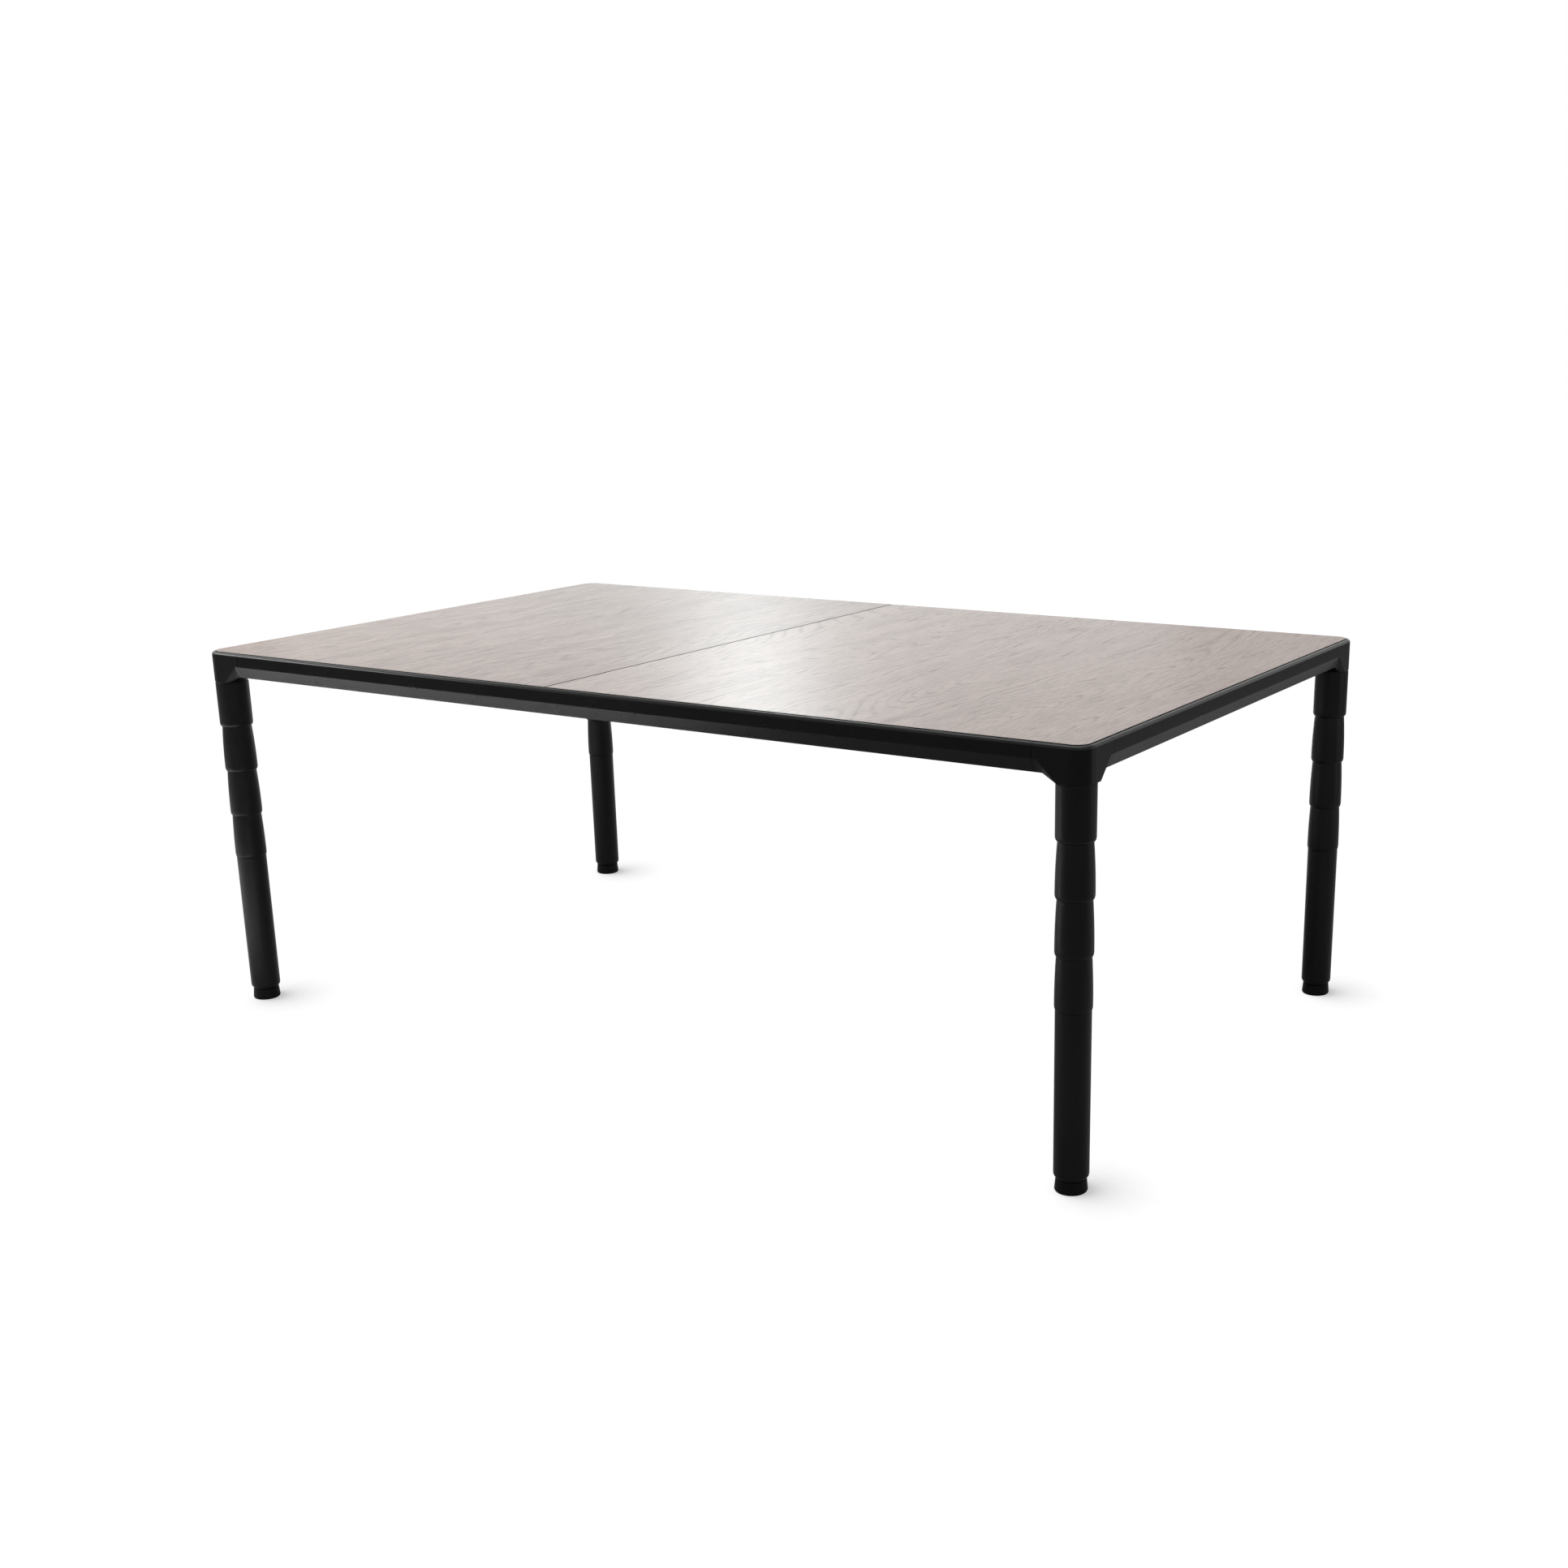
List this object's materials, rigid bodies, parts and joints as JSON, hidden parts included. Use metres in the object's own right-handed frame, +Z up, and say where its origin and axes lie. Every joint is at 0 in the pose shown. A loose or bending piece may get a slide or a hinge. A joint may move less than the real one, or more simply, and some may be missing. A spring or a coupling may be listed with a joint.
{
  "type": "conference table",
  "caption": "Rectangular meeting table: wood-grain laminate panels in a black metal frame with rounded corners, on ringed round legs with screw-levelled feet.",
  "frame": {"origin": "on the floor under the middle of the table", "axes": "+X along the length towards the longer panel, +Y across towards the back, +Z up"},
  "size_m": [2, 1.2, 0.75],
  "materials": {
    "wood_laminate": "light greyish-taupe wood-grain laminate, satin",
    "black_coated_metal": "black powder coat, satin",
    "black_cast_metal": "black powder coat on a die casting, satin",
    "black_plastic": "moulded, fine texture",
    "zinc_plated_steel": "bright zinc plating"
  },
  "bodies": {
    "table": {"top_panel_left": "wood_laminate", "top_panel_right": "wood_laminate", "front_beam": "black_coated_metal", "back_beam": "black_coated_metal", "left_beam": "black_coated_metal", "right_beam": "black_coated_metal", "cross_beam": "black_coated_metal", "cross_beam_bracket_front": "black_coated_metal", "cross_beam_bracket_back": "black_coated_metal", "corner_casting_front_left": "black_cast_metal", "corner_casting_front_right": "black_cast_metal", "corner_casting_back_left": "black_cast_metal", "corner_casting_back_right": "black_cast_metal", "panel_clip_front_left": "zinc_plated_steel", "panel_clip_front_right": "zinc_plated_steel", "panel_clip_back_left": "zinc_plated_steel", "panel_clip_back_right": "zinc_plated_steel", "panel_clip_left": "zinc_plated_steel", "panel_clip_right": "zinc_plated_steel", "leg_sleeve_1_front_left": "black_coated_metal", "leg_sleeve_2_front_left": "black_coated_metal", "leg_sleeve_3_front_left": "black_coated_metal", "leg_sleeve_4_front_left": "black_coated_metal", "leg_tube_front_left": "black_coated_metal", "leg_core_front_left": "zinc_plated_steel", "leg_bolt_front_left": "zinc_plated_steel", "foot_insert_front_left": "black_plastic", "leg_sleeve_1_front_right": "black_coated_metal", "leg_sleeve_2_front_right": "black_coated_metal", "leg_sleeve_3_front_right": "black_coated_metal", "leg_sleeve_4_front_right": "black_coated_metal", "leg_tube_front_right": "black_coated_metal", "leg_core_front_right": "zinc_plated_steel", "leg_bolt_front_right": "zinc_plated_steel", "foot_insert_front_right": "black_plastic", "leg_sleeve_1_back_left": "black_coated_metal", "leg_sleeve_2_back_left": "black_coated_metal", "leg_sleeve_3_back_left": "black_coated_metal", "leg_sleeve_4_back_left": "black_coated_metal", "leg_tube_back_left": "black_coated_metal", "leg_core_back_left": "zinc_plated_steel", "leg_bolt_back_left": "zinc_plated_steel", "foot_insert_back_left": "black_plastic", "leg_sleeve_1_back_right": "black_coated_metal", "leg_sleeve_2_back_right": "black_coated_metal", "leg_sleeve_3_back_right": "black_coated_metal", "leg_sleeve_4_back_right": "black_coated_metal", "leg_tube_back_right": "black_coated_metal", "leg_core_back_right": "zinc_plated_steel", "leg_bolt_back_right": "zinc_plated_steel", "foot_insert_back_right": "black_plastic"},
    "foot_front_left": {"foot_pad_front_left": "black_plastic"},
    "stem_front_left": {"foot_stem_front_left": "zinc_plated_steel"},
    "foot_front_right": {"foot_pad_front_right": "black_plastic"},
    "stem_front_right": {"foot_stem_front_right": "zinc_plated_steel"},
    "foot_back_left": {"foot_pad_back_left": "black_plastic"},
    "stem_back_left": {"foot_stem_back_left": "zinc_plated_steel"},
    "foot_back_right": {"foot_pad_back_right": "black_plastic"},
    "stem_back_right": {"foot_stem_back_right": "zinc_plated_steel"}
  },
  "joints": [
    {"name": "foot_lift_front_left", "type": "slide", "parent": "table", "child": "foot_front_left", "axis": [0, 0, -1], "range_m": [0, 0.012]},
    {"name": "stem_turn_front_left", "type": "hinge", "parent": "foot_front_left", "child": "stem_front_left", "pos_m": [-0.967, -0.567, 0.02], "axis": [0, 0, -1], "range_deg": [0, 2880]},
    {"name": "foot_lift_front_right", "type": "slide", "parent": "table", "child": "foot_front_right", "axis": [0, 0, -1], "range_m": [0, 0.012]},
    {"name": "stem_turn_front_right", "type": "hinge", "parent": "foot_front_right", "child": "stem_front_right", "pos_m": [0.967, -0.567, 0.02], "axis": [0, 0, -1], "range_deg": [0, 2880]},
    {"name": "foot_lift_back_left", "type": "slide", "parent": "table", "child": "foot_back_left", "axis": [0, 0, -1], "range_m": [0, 0.012]},
    {"name": "stem_turn_back_left", "type": "hinge", "parent": "foot_back_left", "child": "stem_back_left", "pos_m": [-0.967, 0.567, 0.02], "axis": [0, 0, -1], "range_deg": [0, 2880]},
    {"name": "foot_lift_back_right", "type": "slide", "parent": "table", "child": "foot_back_right", "axis": [0, 0, -1], "range_m": [0, 0.012]},
    {"name": "stem_turn_back_right", "type": "hinge", "parent": "foot_back_right", "child": "stem_back_right", "pos_m": [0.967, 0.567, 0.02], "axis": [0, 0, -1], "range_deg": [0, 2880]}
  ],
  "couplings": [
    {"joint": "stem_turn_front_left", "follows": "foot_lift_front_left", "rad_per_m": 4188.8},
    {"joint": "stem_turn_front_right", "follows": "foot_lift_front_right", "rad_per_m": 4188.8},
    {"joint": "stem_turn_back_left", "follows": "foot_lift_back_left", "rad_per_m": 4188.8},
    {"joint": "stem_turn_back_right", "follows": "foot_lift_back_right", "rad_per_m": 4188.8}
  ]
}
